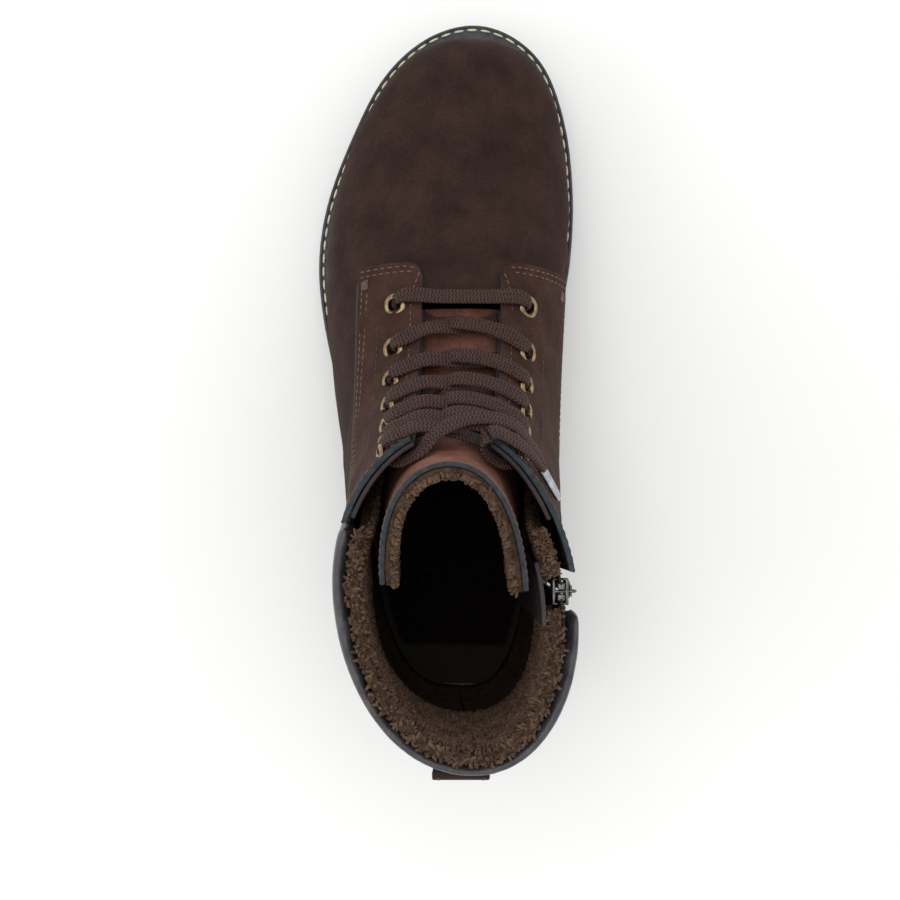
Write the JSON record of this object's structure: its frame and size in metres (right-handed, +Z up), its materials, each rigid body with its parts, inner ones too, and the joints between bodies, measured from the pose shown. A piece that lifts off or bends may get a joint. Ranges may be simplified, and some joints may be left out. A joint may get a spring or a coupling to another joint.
{
  "type": "insulated lace-up boot",
  "caption": "Left-foot insulated ankle boot: lugged sole, buffed leather upper, plush lining, padded collar, laced front with eyelets, and an inner ankle zip that slides.",
  "frame": {"origin": "bottom centre of the whole boot, on the ground", "axes": "+Z up, toe towards -Y, inner side of the foot towards -X"},
  "size_m": [0.1142, 0.3046, 0.1833],
  "materials": {
    "sole_rubber": "moulded matt",
    "midsole_rubber": "moulded matt",
    "welt_rubber": "extruded, stitched",
    "cork": "pressed sheet",
    "spring_steel": "plain",
    "fibre_board": "pressed",
    "plush": "deep pile",
    "stiffener": "thermoformed",
    "nubuck": "buffed nubuck",
    "tongue_nubuck": "buffed nubuck",
    "smooth_leather": "smooth, semi-matt",
    "antique_brass": "antiqued",
    "lace_braid": "flat braid",
    "gunmetal": "dark nickel",
    "zip_tape": "woven"
  },
  "bodies": {
    "boot": {"outsole": "sole_rubber", "heel_block": "sole_rubber", "midsole": "midsole_rubber", "welt": "welt_rubber", "cork_filler": "cork", "shank": "spring_steel", "insole_board": "fibre_board", "footbed": "plush", "vamp_lining": "plush", "outer_front_lining": "plush", "outer_rear_lining": "plush", "inner_front_lining": "plush", "inner_rear_lining": "plush", "tongue_lining": "plush", "toe_puff": "stiffener", "heel_counter": "stiffener", "vamp": "nubuck", "outer_lace_flap": "nubuck", "inner_lace_flap": "nubuck", "outer_rear_quarter": "nubuck", "inner_rear_quarter": "nubuck", "backstay": "nubuck", "tongue": "tongue_nubuck", "padded_collar": "smooth_leather", "heel_pull_loop": "smooth_leather", "outer_lace_facing": "smooth_leather", "inner_lace_facing": "smooth_leather", "zip_guard": "smooth_leather", "outer_eyelet_1": "antique_brass", "inner_eyelet_1": "antique_brass", "outer_eyelet_2": "antique_brass", "inner_eyelet_2": "antique_brass", "outer_eyelet_3": "antique_brass", "inner_eyelet_3": "antique_brass", "outer_eyelet_4": "antique_brass", "inner_eyelet_4": "antique_brass", "outer_eyelet_5": "antique_brass", "inner_eyelet_5": "antique_brass", "outer_eyelet_6": "antique_brass", "inner_eyelet_6": "antique_brass", "outer_eyelet_7": "antique_brass", "inner_eyelet_7": "antique_brass", "lace": "lace_braid", "lace_tip_1": "gunmetal", "lace_tip_2": "gunmetal", "front_zip_teeth": "gunmetal", "rear_zip_teeth": "gunmetal", "front_top_stop": "gunmetal", "rear_top_stop": "gunmetal", "zip_bottom_stop": "gunmetal", "front_zip_tape": "zip_tape", "rear_zip_tape": "zip_tape"},
    "slider": {"zip_slider": "gunmetal"},
    "puller": {"zip_puller": "gunmetal"}
  },
  "joints": [
    {"name": "zip_slide", "type": "slide", "parent": "boot", "child": "slider", "axis": [-0.0038, 0.0564, -0.9984], "range_m": [0, 0.077]},
    {"name": "puller_swing", "type": "hinge", "parent": "slider", "child": "puller", "pos_m": [-0.04327, 0.08339, 0.15331], "axis": [0, 0.9984, 0.0564], "range_deg": [0, 165]}
  ]
}
